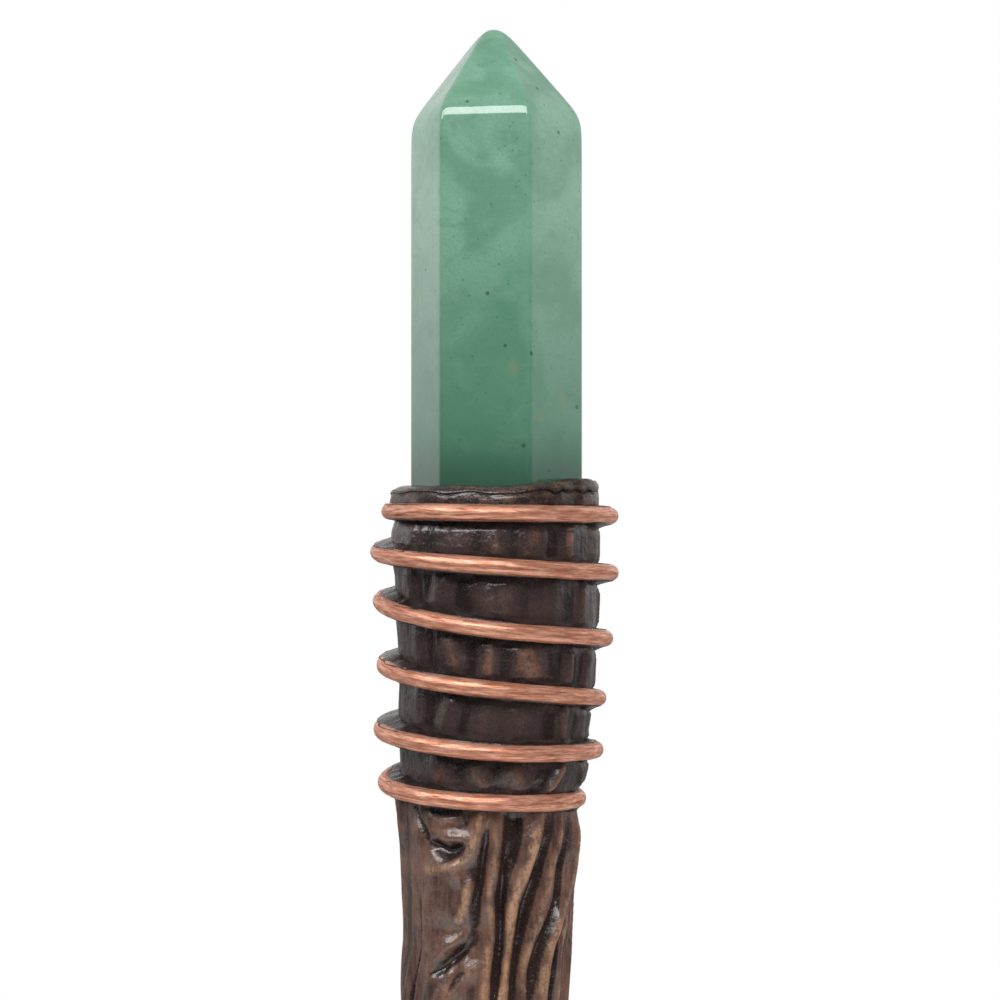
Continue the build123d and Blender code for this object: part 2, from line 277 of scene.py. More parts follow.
# ---- material tools ----------------------------------------------------------------------------
class Shader:
    """A short way to write node materials."""

    def __init__(self, name):
        self.material = bpy.data.materials.new(name)
        self.material.use_nodes = True
        self.tree = self.material.node_tree
        self.surface = self.tree.nodes["Principled BSDF"]
        coordinates = self.tree.nodes.new("ShaderNodeTexCoord")
        self.place = self.scaled(coordinates.outputs["Object"], (1 / MM, 1 / MM, 1 / MM))

    def node(self, kind, inputs=None, **settings):
        made = self.tree.nodes.new(kind)
        for key, value in settings.items():
            setattr(made, key, value)
        for key, value in (inputs or {}).items():
            self.feed(made.inputs[key], value)
        return made

    def feed(self, socket, value):
        if isinstance(value, bpy.types.NodeSocket):
            self.tree.links.new(value, socket)
        else:
            socket.default_value = value

    def scaled(self, vector, scale):
        return self.node("ShaderNodeVectorMath", {0: vector, 1: scale}, operation="MULTIPLY").outputs[0]

    def shifted(self, vector, offset):
        return self.node("ShaderNodeVectorMath", {0: vector, 1: offset}, operation="ADD").outputs[0]

    def attribute(self, name):
        return self.node("ShaderNodeAttribute", attribute_name=name).outputs["Fac"]

    def noise(self, scale, detail=2.0, roughness=0.5, vector=None, distortion=0.0):
        inputs = {"Vector": self.place if vector is None else vector, "Scale": scale, "Detail": detail}
        inputs["Roughness"] = roughness
        inputs["Distortion"] = distortion
        return self.node("ShaderNodeTexNoise", inputs).outputs["Fac"]

    def cells(self, scale, vector=None):
        inputs = {"Vector": self.place if vector is None else vector, "Scale": scale}
        return self.node("ShaderNodeTexVoronoi", inputs).outputs["Distance"]

    def math(self, operation, a, b):
        return self.node("ShaderNodeMath", {0: a, 1: b}, operation=operation).outputs[0]

    def ramp(self, value, low, high, out_low=0.0, out_high=1.0):
        """Maps low..high smoothly to out_low..out_high."""
        inputs = {"Value": value, "From Min": low, "From Max": high, "To Min": out_low, "To Max": out_high}
        return self.node("ShaderNodeMapRange", inputs, interpolation_type="SMOOTHSTEP").outputs[0]

    def mix(self, amount, first, second):
        made = self.node("ShaderNodeMix", data_type="RGBA")
        self.feed(made.inputs[0], amount)
        self.feed(made.inputs[6], first)
        self.feed(made.inputs[7], second)
        return made.outputs[2]

    def bump(self, height, distance, strength=1.0, normal=None):
        inputs = {"Height": height, "Distance": distance * MM, "Strength": strength}
        if normal is not None:
            inputs["Normal"] = normal
        return self.node("ShaderNodeBump", inputs).outputs[0]

    def dull_at_grazing(self, shine, coat):
        """A worn finish that loses most of its shine where it is seen edge on."""
        facing = self.node("ShaderNodeLayerWeight", {"Blend": 0.5}).outputs["Facing"]
        keep = self.ramp(facing, 0.3, 0.75, 1.0, 0.22)
        self.feed(self.surface.inputs["Specular IOR Level"], self.math("MULTIPLY", keep, shine))
        self.feed(self.surface.inputs["Coat Weight"], self.math("MULTIPLY", keep, coat))

    def set(self, **values):
        for key, value in values.items():
            self.feed(self.surface.inputs[key.replace("_", " ")], value)


def colour(red, green, blue):
    """A screen colour, 0 to 255, as Blender's linear colour."""
    linear = [((c / 255 + 0.055) / 1.055) ** 2.4 if c > 10 else c / 255 / 12.92 for c in (red, green, blue)]
    return (*linear, 1.0)


# ---- stone -------------------------------------------------------------------------------------
def soft_max(values, sharpness):
    """Largest of the values, with the change-over between them rounded off."""
    peak = np.max(values, axis=0)
    return peak + np.log(np.sum(np.exp(sharpness * (values - peak)), axis=0)) / sharpness


def outside_stone(points):
    """Distance outside the polished stone, negative inside it."""
    x, y, z = points[..., 0], points[..., 1], points[..., 2]
    normals = [math.radians(STONE_TURN + 30 + 60 * k) for k in range(6)]
    across = [x * math.cos(a) + y * math.sin(a) for a in normals]
    sides = soft_max(np.array([d - STONE_FLAT for d in across]), SIDE_EDGE)
    slope = math.atan2(STONE_FLAT, STONE_APEX - STONE_SHOULDER)
    aside = APEX_ASIDE * np.clip((z - STONE_SHOULDER) / (STONE_APEX - STONE_SHOULDER), 0, 1)
    leaning = [d - aside * math.cos(a) for d, a in zip(across, normals)]
    facets = [d * math.cos(slope) + (z - STONE_APEX) * math.sin(slope) for d in leaning]
    point = soft_max(np.array(facets), POINT_EDGE)
    away = np.sqrt((x - aside) ** 2 + y * y + TIP_ROUNDING**2) - TIP_ROUNDING
    tip = (z - STONE_HIGH.z + away) * math.cos(math.radians(45))
    point = soft_max(np.array([point, tip]), TIP_EDGE)
    return soft_max(np.array([sides, point]), SHOULDER_EDGE)


def crystal():
    """Rings up the column, then rings on rays that fan up over the point from inside the shoulder."""
    angle = np.linspace(0, FULL_TURN, STONE_COLUMNS, endpoint=False)
    middle = STONE_SHOULDER - 2.0
    column_z = np.concatenate([[STONE_LOW.z, STONE_LOW.z + 0.8], np.linspace(STONE_LOW.z + 2, middle, 24)])
    starts = [np.array([0, 0, z]) for z in column_z]
    tilts = [0.0] * len(column_z)
    rise = np.radians(np.linspace(0, 89.7, 110)[1:])
    starts += [np.array([0, 0, middle])] * len(rise)
    tilts += list(rise)
    rings = []
    for start, tilt in zip(starts, tilts):
        direction = np.stack([np.cos(angle) * math.cos(tilt), np.sin(angle) * math.cos(tilt)], axis=-1)
        direction = np.concatenate([direction, np.full((STONE_COLUMNS, 1), math.sin(tilt))], axis=-1)
        near, far = np.zeros(STONE_COLUMNS), np.full(STONE_COLUMNS, 30.0)
        for _ in range(HALVINGS):
            half = (near + far) / 2
            outside = outside_stone(start + direction * half[:, None]) > 0
            far = np.where(outside, half, far)
            near = np.where(outside, near, half)
        rings.append(start + direction * far[:, None])
    rings = np.array(rings)
    rings[0] *= [0.9, 0.9, 1.0]
    return closed_mesh("polished_crystal", rings)


def crystal_material():
    s = Shader("green_aventurine")
    warped = s.shifted(s.place, (3.1, 7.4, 0.0))
    clouds = s.noise(0.16, 3.0, 0.55, warped, 0.6)
    bands = s.noise(0.35, 4.0, 0.6, s.scaled(s.place, (1.0, 1.0, 1.9)), 1.2)
    grain = s.noise(5.0, 3.0, 0.7)
    body = s.mix(s.ramp(clouds, 0.36, 0.64), colour(104, 147, 124), colour(127, 167, 146))
    body = s.mix(s.ramp(bands, 0.52, 0.74, 0.0, 0.35), body, colour(136, 170, 150))
    body = s.mix(s.ramp(bands, 0.46, 0.3, 0.0, 0.35), body, colour(86, 134, 111))
    body = s.mix(s.ramp(grain, 0.3, 0.7, 0.0, 0.35), body, colour(86, 132, 108))
    height = s.node("ShaderNodeSeparateXYZ", {0: s.place}).outputs["Z"]
    # Painted shade: the stone is made darker towards its foot, where less light comes through it beside the
    # dark shaft.
    body = s.mix(s.ramp(height, BODY_HIGH.z + 40.0, BODY_HIGH.z, 0.0, 0.72), body, colour(58, 104, 82))
    body = s.mix(s.ramp(height, BODY_HIGH.z + 9.0, BODY_HIGH.z, 0.0, 0.75), body, colour(38, 68, 54))
    specks = s.ramp(s.cells(0.36), 0.1, 0.06)
    body = s.mix(s.math("MULTIPLY", specks, 0.75), body, colour(40, 70, 54))
    flakes = s.ramp(s.cells(0.9, s.shifted(s.place, (5.0, 1.0, 2.0))), 0.15, 0.07)
    body = s.mix(s.math("MULTIPLY", flakes, 0.4), body, colour(52, 90, 72))
    dust = s.ramp(s.cells(2.4, s.shifted(s.place, (1.0, 8.0, 3.0))), 0.2, 0.08)
    body = s.mix(s.math("MULTIPLY", dust, 0.25), body, colour(58, 96, 76))
    rust = s.ramp(s.cells(0.13, s.shifted(s.place, (2.0, 4.0, 9.0))), 0.11, 0.05)
    body = s.mix(s.math("MULTIPLY", rust, 0.35), body, colour(122, 122, 88))
    s.set(Base_Color=body, IOR=1.54, Roughness=s.ramp(grain, 0.3, 0.8, 0.035, 0.075))
    s.set(Subsurface_Weight=0.25, Subsurface_Scale=1.6 * MM)
    s.surface.inputs["Subsurface Radius"].default_value = (0.8, 1.0, 0.85)
    waves = s.bump(s.noise(0.22, 1.0), 0.035, 0.6)
    s.set(Normal=s.bump(s.noise(2.2, 2.0), 0.002, 0.5, waves))
    return s.material


# ---- wire --------------------------------------------------------------------------------------
def wire_centreline():
    """Follows the CAD wire round the shaft: azimuth in degrees (counted on past 360), height and radius."""
    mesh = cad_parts["copper_wire"].data
    points = np.array([v.co for v in mesh.vertices]) / MM
    edges = np.array([e.vertices for e in mesh.edges])
    slices = {}
    for azimuth in np.arange(0.0, 360.0, TRACE_STEP):
        a = math.radians(azimuth)
        side = points[:, 1] * math.cos(a) - points[:, 0] * math.sin(a)
        first, second = side[edges[:, 0]], side[edges[:, 1]]
        crossing = first * second < 0
        share = (first / (first - second + 1e-12))[crossing, None]
        cut = points[edges[crossing, 0]] * (1 - share) + points[edges[crossing, 1]] * share
        reach = cut[:, 0] * math.cos(a) + cut[:, 1] * math.sin(a)
        cut = np.stack([cut[:, 2], reach], axis=-1)[reach > TUCKED_UNDER]
        cut = cut[np.argsort(cut[:, 0])]
        breaks = np.where(np.diff(cut[:, 0]) > TURNS_APART)[0] + 1
        loops = [loop for loop in np.split(cut, breaks) if len(loop) > 3]
        slices[azimuth] = [(loop.max(0) + loop.min(0)) / 2 for loop in loops]
    top = max(slices, key=lambda a: max(loop[0] for loop in slices[a]))
    chain = [(top, *max(slices[top], key=lambda loop: loop[0]))]

    def follow(direction):
        azimuth, z, r = chain[-1] if direction > 0 else chain[0]
        while True:
            azimuth += direction * TRACE_STEP
            near = [p for p in slices[azimuth % 360.0] if abs(p[0] - z) < 1.0 and abs(p[1] - r) < 0.7]
            if not near:
                return
            z, r = min(near, key=lambda p: abs(p[0] - z))
            chain.insert(len(chain) if direction > 0 else 0, (azimuth, z, r))

    follow(1)
    follow(-1)
    line = np.array(chain)
    for angle, height, pull in TIGHT_SPOTS:
        spot = np.exp(-((turned(line[:, 0] - angle) / 50) ** 2) - ((line[:, 1] - height) / 2) ** 2)
        line[:, 2] -= pull * spot
    return line


def coil(line):
    """The wire itself, with the slight unevenness of hand winding."""
    azimuth = np.arange(line[0, 0], line[-1, 0], COIL_STEP)
    z = np.interp(azimuth, line[:, 0], line[:, 1])
    r = np.interp(azimuth, line[:, 0], line[:, 2])
    for _ in range(3):
        z[1:-1] = (z[:-2] + z[1:-1] + z[2:]) / 3
        r[1:-1] = (r[:-2] + r[1:-1] + r[2:]) / 3
    along = azimuth - azimuth[0]
    z = z + 0.07 * wander(along, 40.0, 11)
    r = r + 0.05 * wander(along, 30.0, 12)
    sides = 24
    turn = np.linspace(0, FULL_TURN, sides, endpoint=False)[None, :]
    thick = WIRE_RADIUS * (1 + 0.03 * wander(along, 9.0, 13))[:, None]
    round_wire, down_wire = np.broadcast_arrays(turn / FULL_TURN * 5, along[:, None] / 7.0)
    dents = 0.016 * smooth_noise(round_wire, down_wire, 5, 14)
    thick = thick + dents
    # Each end closes to a rounded cap.
    cap = np.minimum(1, np.minimum(along, along[-1] - along) / 4.0)[:, None]
    thick = thick * np.sqrt(np.maximum(1 - (1 - cap) ** 2, 0.02))
    radius = r[:, None] + thick * np.cos(turn)
    height = z[:, None] + thick * np.sin(turn)
    rings = polar(radius, azimuth[:, None], height)
    # Rings run down the wire, so they are turned over to face outward.
    piece = closed_mesh("copper_coil", rings[:, ::-1])
    length = np.radians(along) * r.mean()
    paint(piece, "along", np.repeat(length, sides))
    paint(piece, "outward", np.tile(np.cos(turn[0, ::-1]), len(along)))
    paint(piece, "upward", np.tile(np.sin(turn[0, ::-1]), len(along)))
    return piece


def copper_material():
    s = Shader("antiqued_copper")
    along, outward, upward = s.attribute("along"), s.attribute("outward"), s.attribute("upward")
    drawn_out = s.math("MULTIPLY", along, 0.13)
    grain_place = s.node("ShaderNodeCombineXYZ", {0: drawn_out, 1: outward, 2: upward}).outputs[0]
    streaks = s.noise(3.2, 4.0, 0.65, grain_place)
    fine = s.noise(9.0, 3.0, 0.7, grain_place)
    blotch = s.noise(0.35, 3.0, 0.6)
    metal = s.mix(s.ramp(streaks, 0.38, 0.68), colour(188, 121, 94), colour(242, 184, 158))
    metal = s.mix(s.ramp(fine, 0.48, 0.72, 0.0, 0.65), metal, colour(158, 92, 70))
    edge = s.ramp(outward, 0.3, -0.4)
    dark_streak = s.ramp(s.math("ADD", streaks, s.math("MULTIPLY", fine, 0.4)), 0.6, 0.5)
    worn = s.math("MULTIPLY", dark_streak, s.ramp(blotch, 0.4, 0.6, 0.25, 0.9))
    patina = s.math("MAXIMUM", s.math("MULTIPLY", edge, s.ramp(streaks, 0.3, 0.6, 1.0, 0.7)), worn)
    tint = s.mix(patina, metal, colour(84, 50, 40))
    s.set(Base_Color=tint, Metallic=s.ramp(patina, 0.2, 1.0, 0.65, 0.3))
    s.set(Roughness=s.math("ADD", s.ramp(fine, 0.2, 0.8, 0.38, 0.54), s.math("MULTIPLY", patina, 0.15)))
    lines = s.bump(s.noise(7.0, 3.0, 0.6, grain_place), 0.03, 0.7)
    s.set(Normal=s.bump(s.noise(1.6, 2.0), 0.06, 0.35, lines))
    return s.material


# ---- shaft -------------------------------------------------------------------------------------
def cad_radius(columns, heights):
    """Distance from the wand's axis to the CAD shaft, on a grid of angles and heights."""
    tree = BVHTree.FromObject(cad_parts["wand_body"], bpy.context.evaluated_depsgraph_get())
    grid = np.zeros((len(heights), len(columns)))
    for i, z in enumerate(heights):
        for j, degrees in enumerate(columns):
            outward = Vector((math.cos(math.radians(degrees)), math.sin(math.radians(degrees)), 0))
            hit = tree.ray_cast(outward * 40 * MM + Vector((0, 0, z * MM)), -outward)[0]
            grid[i, j] = hit.xy.length / MM if hit else grid[i, j - 1]
    return grid


def stretched(grid, heights, degrees, z):
    """Values of a coarse grid at every row and column of the fine one. Its columns go once round."""
    position = (degrees % 360.0) / 360.0 * grid.shape[1]
    left = np.floor(position).astype(int) % grid.shape[1]
    share = position - np.floor(position)
    share = share * share * (3 - 2 * share)
    right = (left + 1) % grid.shape[1]
    across = grid[:, left] * (1 - share) + grid[:, right] * share
    return np.array([np.interp(z, heights, across[:, k]) for k in range(across.shape[1])]).T


def curve_through(points, spacing=0.4):
    """Points every so often along a smooth curve through the given angles and heights."""
    knots = np.array(points, float)
    knots[:, 0] = np.degrees(np.unwrap(np.radians(knots[:, 0])))
    knots = np.vstack([2 * knots[0] - knots[1], knots, 2 * knots[-1] - knots[-2]])
    path = []
    for a, b, c, d in zip(knots, knots[1:], knots[2:], knots[3:]):
        length = math.hypot((c[0] - b[0]) * 0.15, c[1] - b[1])
        for t in np.linspace(0, 1, max(2, round(length / spacing)), endpoint=False):
            square, cube = 2 * a - 5 * b + 4 * c - d, 3 * b - a - 3 * c + d
            path.append(0.5 * (2 * b + (c - a) * t + square * t**2 + cube * t**3))
    path.append(knots[-2])
    return np.array(path)


class Relief:
    """The bark's height over the plain shaft, its painted crests and the painted shade in its creases."""

    def __init__(self, bearing, z, radius):
        self.bearing, self.z, self.radius = bearing, z, radius
        shape = radius.shape
        self.height, self.crest, self.hollow_shade = np.zeros(shape), np.zeros(shape), np.zeros(shape)

    def distance(self, path, reach):
        """Distance over the surface to a curve, for the rows near it, and the share of the way along it."""
        rows = np.where((self.z > path[:, 1].min() - reach) & (self.z < path[:, 1].max() + reach))[0]
        best = np.full((len(rows), self.bearing.shape[1]), 99.0)
        share = np.zeros_like(best)
        for k, (angle, height) in enumerate(path):
            near = np.where(np.abs(self.z[rows] - height) < reach)[0]
            at = rows[near]
            across = np.radians(turned(self.bearing[at] - angle)) * self.radius[at]
            away = np.hypot(across, (self.z[at] - height)[:, None])
            closer = away < best[near]
            best[near] = np.where(closer, away, best[near])
            share[near] = np.where(closer, k / len(path), share[near])
        return rows, best, share

    def ridge(self, points, width, height, tan, taper=0.2):
        path = curve_through(points)
        rows, away, share = self.distance(path, width * 2.4)
        fade = smoothstep(share, 0, taper) * smoothstep(1 - share, 0, taper)
        narrow = width * (0.4 + 0.6 * fade)
        self.height[rows] += height * fade * np.exp(-((away / narrow) ** 2))
        line = tan * fade * smoothstep(away, 1.1 * narrow, 0.1 * narrow)
        self.crest[rows] = np.maximum(self.crest[rows], line)

    def crease(self, points, width, depth, taper=0.3):
        path = curve_through(points)
        rows, away, share = self.distance(path, width * 2.4)
        fade = smoothstep(share, 0, taper) * smoothstep(1 - share, 0, taper)
        narrow = 0.7 * width * (0.35 + 0.65 * fade)
        dip = fade * np.exp(-((away / narrow) ** 2))
        self.height[rows] -= depth * dip
        # The dip also sets how much painted shade the crease gets.
        self.hollow_shade[rows] = np.maximum(self.hollow_shade[rows], dip)

    def swell(self, angle, height, rise, around, along):
        across = np.radians(turned(self.bearing - angle)) * self.radius
        self.height += rise * np.exp(-((across / around) ** 2) - ((self.z[:, None] - height) / along) ** 2)

    def long_ridge(self, angle, low, high, seed):
        """A ridge that runs along the shaft, twisting, wandering, thinning and dying away in places."""
        z = self.z
        lean = BARK_TWIST * (z - FRONT_PATCH_LOW)
        own = 5.0 * wander(z, 13.0, seed)
        centre = angle + lean + own - np.interp(FRONT_PATCH_LOW, z, own)
        presence = smoothstep(z, low, low + 6) * smoothstep(z, high, high - 4)
        presence = presence * smoothstep(wander(z, 17.0, seed + 100), -0.75, -0.15)
        width = 0.9 + 0.3 * wander(z, 11.0, seed + 200)
        rise = presence * (0.6 + 0.25 * wander(z, 15.0, seed + 300))
        tan = presence * (0.6 + 0.4 * wander(z, 9.0, seed + 400))
        away = np.abs(np.radians(turned(self.bearing - centre[:, None])) * self.radius)
        self.height += rise[:, None] * np.exp(-((away / width[:, None]) ** 2))
        line = tan[:, None] * smoothstep(away, 1.0 * width[:, None], 0.1 * width[:, None])
        self.crest = np.maximum(self.crest, line)


def own_bearing(degrees, z, radius):
    """Angle of each point round the shaft's own centre line, which leaves the wand's axis below the wire."""
    angle = np.radians(degrees)[None, :]
    share = smoothstep(z, COIL_FROM + 2.5, COIL_FROM + 0.5)
    x = 2 * share * (radius * np.cos(angle)).mean(1)
    y = 2 * share * (radius * np.sin(angle)).mean(1)
    return np.degrees(np.arctan2(radius * np.sin(angle) - y[:, None], radius * np.cos(angle) - x[:, None]))


def wire_passes(line, degrees):
    """Height and radius of the wire's centre where each turn passes each column."""
    passes = []
    first = math.floor((line[0, 0] - 360) / 360)
    for n in range(first, math.ceil(line[-1, 0] / 360) + 1):
        azimuth = degrees + 360.0 * n
        inside = (azimuth >= line[0, 0]) & (azimuth <= line[-1, 0])
        if inside.any():
            z = np.where(inside, np.interp(azimuth, line[:, 0], line[:, 1]), -99.0)
            passes.append((z, np.interp(azimuth, line[:, 0], line[:, 2])))
    return passes


def fold_line(passes, gap, angle, lean, degrees):
    """A fold from the wire above one gap to the wire below it."""
    k = int(np.argmin(np.abs(turned(degrees - angle))))
    heights = sorted((z[k] for z, _ in passes if z[k] > 0), reverse=True)
    high, low = heights[min(gap, len(heights) - 1)], heights[min(gap + 1, len(heights) - 1)]
    return [(angle + lean, high - 0.6), (angle, (high + low) / 2), (angle - lean, low + 0.6)]


def shaft_relief(degrees, z, radius, passes):
    bark = Relief(own_bearing(degrees, z, radius), z, radius)
    for width, height, tan, points in FRONT_RIDGES:
        bark.ridge(points, width, height, tan)
    for k, angle in enumerate(LOWER_RIDGES):
        bark.long_ridge(angle, BODY_LOW.z, FRONT_PATCH_LOW + 2, 30 + k)
    for k, angle in enumerate(BACK_RIDGES):
        bark.long_ridge(angle, BODY_LOW.z, COIL_FROM + 4, 60 + k)
    for width, depth, points in FRONT_CREASES:
        bark.crease(points, width, depth)
    for swell in FRONT_SWELLS:
        bark.swell(*swell)
    for gap, angle, width, height, tan, lean in GAP_FOLDS:
        bark.ridge(fold_line(passes, gap, angle, lean, degrees), width, FOLD_RISE * height, tan, 0.3)
    for k in range(WRINKLES):
        place_at = np.random.RandomState(500 + k).uniform(0, 1, 5)
        gap = k % 5
        angle = -5 + 180 * (k // 5 + 0.7 * place_at[1]) / 6
        lean = 8 * (place_at[2] - 0.5)
        points = fold_line(passes, gap, angle, lean, degrees)
        bark.ridge(points, 0.7 + 0.9 * place_at[3], 0.3 + 0.35 * place_at[4], 0.8 * place_at[0], 0.3)
    return bark


def shaft(line):
    """The bark-textured shaft with the socket for the stone and the bore for the rod."""
    top = BODY_HIGH.z
    degrees = np.arange(SHAFT_COLUMNS) * 360.0 / SHAFT_COLUMNS
    low_rows = np.arange(0.0, DETAIL_FROM, SHAFT_STEP_LOW)
    z = np.concatenate([[0.0, 0.15], low_rows[1:], np.arange(DETAIL_FROM, top, SHAFT_STEP_HIGH), [top]])
    coarse_columns = np.arange(0, 360, 6.0)
    coarse_rows = np.concatenate([[0.05, 0.5, 1.0, 1.6, 3.0], np.arange(5.0, top - 0.5, 1.5), [top - 0.05]])
    radius = stretched(cad_radius(coarse_columns, coarse_rows), coarse_rows, degrees, z)
    share = (1 + np.cos(np.radians(degrees)))[None, :] / 2
    left = np.interp(z, column(SWELL, 0), column(SWELL, 1))[:, None]
    right = np.interp(z, column(SWELL, 0), column(SWELL, 2))[:, None]
    radius = radius + left * (1 - share) + right * share

    passes = wire_passes(line, degrees)
    bark = shaft_relief(degrees, z, radius, passes)
    around = degrees / 360.0
    u = np.broadcast_to(around[None, :], radius.shape)
    v = np.broadcast_to(z[:, None], radius.shape)
    lumps = 0.16 * smooth_noise(u * 14, v / 9.0, 14, 21) + 0.07 * smooth_noise(u * 40, v / 3.5, 40, 22)
    grooves = 0.05 * smooth_noise(u * 90, v / 8.0, 90, 23)
    surface = radius - BARK_SINK + bark.height + lumps + grooves
    # Under each turn the bark is pressed in to seat the wire.
    for wire_z, wire_r in passes:
        away = np.abs(v - wire_z[None, :])
        seat = wire_r[None, :] - WIRE_SINK + 1.1 * np.maximum(away - 0.5, 0)
        surface = np.where(away < SEAT_REACH, np.minimum(surface, seat), surface)
    # The butt is rounded off to its flat end, and the top runs in under the collar.
    butt = smoothstep(v, 0.0, 3.0)
    surface = surface * butt + (radius - BARK_SINK) * (1 - butt)
    surface = np.minimum(surface, radius + np.interp(v, (163.0, 168.0), (0.5, 0.9)))

    flat = STONE_FLAT + GLUE_WALL
    hexagon = flat / np.cos(np.radians((degrees - STONE_TURN) % 60.0 - 30.0))
    floor = ROD_HIGH.z
    inner = [(hexagon, top), (hexagon, floor), (ROD_BORE, floor), (ROD_BORE, ROD_LOW.z)]
    rings = [polar(surface[i], degrees, z[i]) for i in range(len(z))]
    rings += [polar(r + 0 * degrees, degrees, height) for r, height in inner]
    piece = closed_mesh("bark_shaft", np.array(rings))
    # Painted shade: the bark is darkened where it lies below the average of its neighbours and in the
    # creases.
    average = np.array([np.convolve(row, np.ones(25) / 25, "same") for row in bark.height])
    valley = np.clip(0.8 * smoothstep(average - bark.height, 0.0, 0.22) + bark.hollow_shade, 0, 1)
    # Painted shade: a strip along each turn of wire is darkened in the bark's colour.
    near_wire = np.zeros_like(surface)
    for wire_z, _ in passes:
        near_wire = np.maximum(near_wire, 1 - np.clip(np.abs(v - wire_z[None, :]) / SHADE_STRIP_REACH, 0, 1))
    paint(piece, "crest", bark.crest * (1 - smoothstep(near_wire, 0.1, 0.6)))
    paint(piece, "hollow_shade", np.maximum(valley, smoothstep(near_wire, 0.2, 0.8)), 1.0)
    paint(piece, "coil", smoothstep(v, COIL_FROM, COIL_FROM + 2.5), 1.0)
    return piece, degrees, z, surface


def bark_material():
    s = Shader("cast_bark")
    crest, hollow_shade, coil_zone = s.attribute("crest"), s.attribute("hollow_shade"), s.attribute("coil")
    tall = s.scaled(s.place, (1.0, 1.0, 0.22))
    fibres = s.noise(2.6, 4.0, 0.6, tall)
    blotch = s.noise(0.3, 3.0, 0.55)
    speckle = s.noise(4.5, 3.0, 0.65)
    brown = s.mix(s.ramp(fibres, 0.35, 0.65), colour(68, 49, 45), colour(96, 69, 59))
    brown = s.mix(s.ramp(blotch, 0.42, 0.62, 0.0, 0.6), brown, colour(116, 84, 68))
    brown = s.mix(s.math("MULTIPLY", coil_zone, 0.85), brown, colour(49, 41, 42))
    broken = s.ramp(s.math("ADD", speckle, s.math("MULTIPLY", fibres, 0.6)), 0.55, 0.9, 0.4, 1.0)
    patchy = s.ramp(s.noise(0.55, 3.0, 0.6, s.shifted(s.place, (9.0, 3.0, 1.0))), 0.35, 0.6, 0.45, 1.0)
    dry_brush = s.math("MULTIPLY", s.math("MULTIPLY", crest, broken), patchy)
    tan = s.mix(coil_zone, colour(162, 124, 95), colour(116, 82, 68))
    paint_layer = s.mix(s.ramp(dry_brush, 0.1, 0.95), brown, tan)
    # Painted shade: creases, valleys and the strips along the wire are darkened nearly to black.
    dark = s.ramp(hollow_shade, 0.15, 0.9, 0.0, 0.9)
    tint = s.mix(dark, paint_layer, colour(34, 25, 25))
    s.set(Base_Color=tint)
    matt = s.math("SUBTRACT", s.math("MULTIPLY", crest, 0.12), s.math("MULTIPLY", hollow_shade, 0.08))
    matt = s.math("SUBTRACT", matt, s.math("MULTIPLY", coil_zone, 0.04))
    s.set(Roughness=s.math("ADD", s.ramp(speckle, 0.3, 0.75, 0.24, 0.42), matt))
    s.dull_at_grazing(0.5, 0.45)
    s.set(Coat_Roughness=0.12)
    dents = s.bump(s.noise(0.75, 2.0, 0.5), 0.5, 0.45)
    lumps = s.bump(s.noise(1.1, 3.0, 0.6, tall), 0.25, 0.5, dents)
    pits = s.bump(speckle, 0.07, 0.55, lumps)
    s.set(Normal=s.bump(s.noise(3.4, 2.0, 0.5, s.scaled(s.place, (1.0, 1.0, 0.35))), 0.06, 0.5, pits))
    return s.material


# ---- bedding and collar ------------------------------------------------------------------------
def surface_at(shaft_grid, azimuth, height):
    """Radius of the finished shaft at matching arrays of angles and heights."""
    degrees, z, surface = shaft_grid
    column_at = (azimuth % 360.0) / 360.0 * len(degrees)
    j = np.floor(column_at).astype(int) % len(degrees)
    share = column_at - np.floor(column_at)
    i = np.clip(np.searchsorted(z, height) - 1, 0, len(z) - 2)
    up = np.clip((height - z[i]) / (z[i + 1] - z[i]), 0, 1)
    next_j = (j + 1) % len(degrees)
    low = surface[i, j] * (1 - share) + surface[i, next_j] * share
    high = surface[i + 1, j] * (1 - share) + surface[i + 1, next_j] * share
    return low * (1 - up) + high * up


